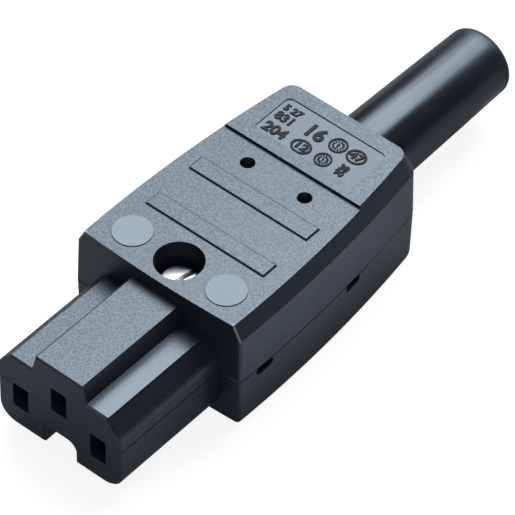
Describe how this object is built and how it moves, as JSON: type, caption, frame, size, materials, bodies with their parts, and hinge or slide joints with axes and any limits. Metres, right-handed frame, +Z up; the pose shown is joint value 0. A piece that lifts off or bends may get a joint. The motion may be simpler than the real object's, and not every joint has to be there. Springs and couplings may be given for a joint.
{
  "type": "appliance connector",
  "caption": "Straight rewirable appliance connector with a ridged, keyed nose, a two-part housing closed by screws, and a tapered bend-protection sleeve for its cord.",
  "frame": {"origin": "on the mating face, midway between the two power slots", "axes": "+Y from the mating face through the connector to the cord's outlet, +Z up to the ridge side that the housing screw enters, +X to the line contact"},
  "size_m": [0.0298, 0.091, 0.0195],
  "materials": {
    "housing": "black thermoset moulding, satin, with a fine grain",
    "sleeve_rubber": "smooth black rubber, soft sheen",
    "plated_steel": "bright nickel-plated steel",
    "contact_brass": "bare brass, lightly dulled",
    "spring_steel": "rolled spring steel"
  },
  "bodies": {
    "root": {"upper_housing": "housing", "lower_housing": "housing", "bend_sleeve": "sleeve_rubber", "housing_screw": "plated_steel", "housing_nut": "plated_steel", "rear_screw_left": "plated_steel", "rear_screw_right": "plated_steel", "cord_saddle": "housing", "line_contact": "contact_brass", "line_spring": "spring_steel", "line_terminal": "contact_brass", "line_terminal_screw": "plated_steel", "neutral_contact": "contact_brass", "neutral_spring": "spring_steel", "neutral_terminal": "contact_brass", "neutral_terminal_screw": "plated_steel", "earth_contact": "contact_brass", "earth_spring": "spring_steel", "earth_terminal": "contact_brass", "earth_terminal_screw": "plated_steel"}
  },
  "joints": []
}
